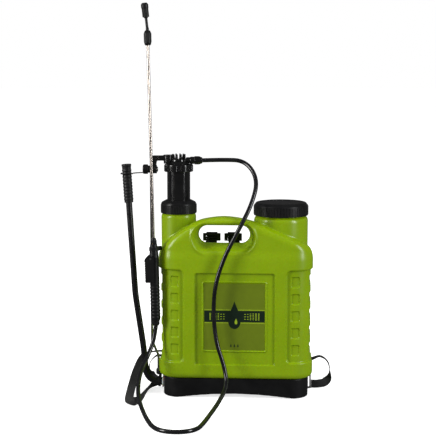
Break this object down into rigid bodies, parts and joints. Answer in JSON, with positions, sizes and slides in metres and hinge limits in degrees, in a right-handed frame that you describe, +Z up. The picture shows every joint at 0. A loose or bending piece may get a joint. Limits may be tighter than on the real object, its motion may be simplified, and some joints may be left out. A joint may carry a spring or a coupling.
{
  "type": "backpack sprayer",
  "caption": "Knapsack sprayer: blow-moulded green tank on a black base, lever pump with air chamber, lance with trigger handle on a hose, padded shoulder straps.",
  "frame": {"origin": "on the floor under the middle of the tank, in the plane of the base's bottom rim", "axes": "+Z up; the label face looks along -Y and the wearer stands on the +Y side; the pump and its lever are on the -X side"},
  "size_m": [0.548, 0.5675, 1.0065],
  "materials": {
    "tank_green": "blow-moulded lime green HDPE, semi-gloss with a fine moulded grain",
    "label": "printed olive film with a dark band, no lettering",
    "base_black": "satin black moulded plastic",
    "pump_black": "glossy black moulded plastic",
    "cap_black": "satin black moulded plastic with a ribbed grip",
    "natural_plastic": "natural white polypropylene",
    "grip_rubber": "soft black grip",
    "seal_rubber": "black nitrile seal",
    "hose_rubber": "smooth black reinforced hose",
    "lever_steel": "black powder-coated steel tube",
    "zinc_steel": "zinc-plated steel",
    "stainless": "polished stainless tube",
    "brass": "turned brass",
    "valve_glass": "glass check-valve ball",
    "webbing": "woven black polypropylene webbing",
    "pad_fabric": "padded black polyester"
  },
  "bodies": {
    "root": {"tank": "tank_green", "label_panel": "label", "base_skirt": "base_black", "base_screws": "zinc_steel", "shaft_bushes": "natural_plastic", "strap_hook_left": "lever_steel", "strap_hook_right": "lever_steel", "pump_barrel": "natural_plastic", "neck_gasket": "seal_rubber", "collar_nut": "cap_black", "inlet_seat": "natural_plastic", "intake_strainer": "natural_plastic", "handle_shell_front": "cap_black", "handle_shell_back": "cap_black", "valve_body": "brass", "inline_filter": "natural_plastic", "trigger_pin": "zinc_steel", "trigger_spring": "zinc_steel", "handle_hose_nut": "cap_black", "lance_nut": "cap_black", "lance_tube": "stainless", "tip_nut": "cap_black", "nozzle_neck": "cap_black", "swirl_core": "brass", "lance_clip": "cap_black", "top_clip_left": "cap_black", "top_clip_right": "cap_black", "top_web_left": "webbing", "top_web_right": "webbing", "shoulder_pad_left": "pad_fabric", "shoulder_pad_right": "pad_fabric", "pad_buckle_left": "cap_black", "pad_buckle_right": "cap_black", "strap_tail_left": "webbing", "strap_tail_right": "webbing", "hose": "hose_rubber"},
    "lever": {"lever_tube": "lever_steel", "lever_grip": "grip_rubber", "crank_arm": "lever_steel", "crank_pin": "zinc_steel", "shaft_clip": "zinc_steel"},
    "plunger": {"air_chamber": "pump_black", "piston_cup": "seal_rubber", "chamber_cap": "pump_black", "crown_nut": "pump_black", "outlet_spigot": "pump_black", "outlet_hose_nut": "pump_black", "pump_arm": "pump_black", "arm_pin": "zinc_steel", "knob_nut": "cap_black", "wire_hook": "lever_steel", "connecting_rod": "zinc_steel"},
    "delivery_valve": {"delivery_ball": "valve_glass"},
    "inlet_valve": {"inlet_ball": "valve_glass"},
    "trigger": {"trigger_lever": "cap_black"},
    "stem": {"valve_stem": "brass"},
    "nozzle": {"nozzle_cap": "cap_black"},
    "strainer": {"strainer_basket": "cap_black"},
    "cap_liner": {"cap_gasket": "seal_rubber"},
    "filler_lid": {"filler_cap": "cap_black"}
  },
  "joints": [
    {"name": "pump_lever", "type": "hinge", "parent": "root", "child": "lever", "pos_m": [-0.19, -0.0327, 0.03], "axis": [-1, 0, 0], "range_deg": [0, 60]},
    {"name": "plunger_slide", "type": "slide", "parent": "root", "child": "plunger", "axis": [0, 0, -1], "range_m": [0, 0.0355], "deforming": ["hose"]},
    {"name": "delivery_ball_lift", "type": "slide", "parent": "plunger", "child": "delivery_valve", "axis": [0, 0, 1], "range_m": [0, 0.004]},
    {"name": "inlet_ball_lift", "type": "slide", "parent": "root", "child": "inlet_valve", "axis": [0, 0, 1], "range_m": [0, 0.004]},
    {"name": "trigger_squeeze", "type": "hinge", "parent": "root", "child": "trigger", "pos_m": [-0.21465, -0.08, 0.36278], "axis": [0, -1, 0], "range_deg": [0, 8], "stiffness_Nm_per_rad": 2, "springref_deg": -6.88, "deforming": ["trigger_spring"]},
    {"name": "valve_stem_push", "type": "slide", "parent": "root", "child": "stem", "axis": [0.9997, 0, 0.0227], "range_m": [0, 0.0041]},
    {"name": "nozzle_turn", "type": "hinge", "parent": "root", "child": "nozzle", "pos_m": [-0.21972, -0.08, 0.93881], "axis": [-0.1097, 0, 0.994], "range_deg": [0, 360]},
    {"name": "strainer_lift", "type": "slide", "parent": "root", "child": "strainer", "axis": [0, 0, 1], "range_m": [0, 0.12]},
    {"name": "cap_lift", "type": "slide", "parent": "strainer", "child": "cap_liner", "axis": [0, 0, 1], "range_m": [0, 0.06]},
    {"name": "cap_turn", "type": "hinge", "parent": "cap_liner", "child": "filler_lid", "pos_m": [0.115, 0, 0.49], "axis": [0, 0, 1], "range_deg": [0, 450]}
  ],
  "couplings": [
    {"joint": "plunger_slide", "follows": "pump_lever", "m_per_rad": 0.0338},
    {"joint": "valve_stem_push", "follows": "trigger_squeeze", "m_per_rad": 0.0286}
  ]
}
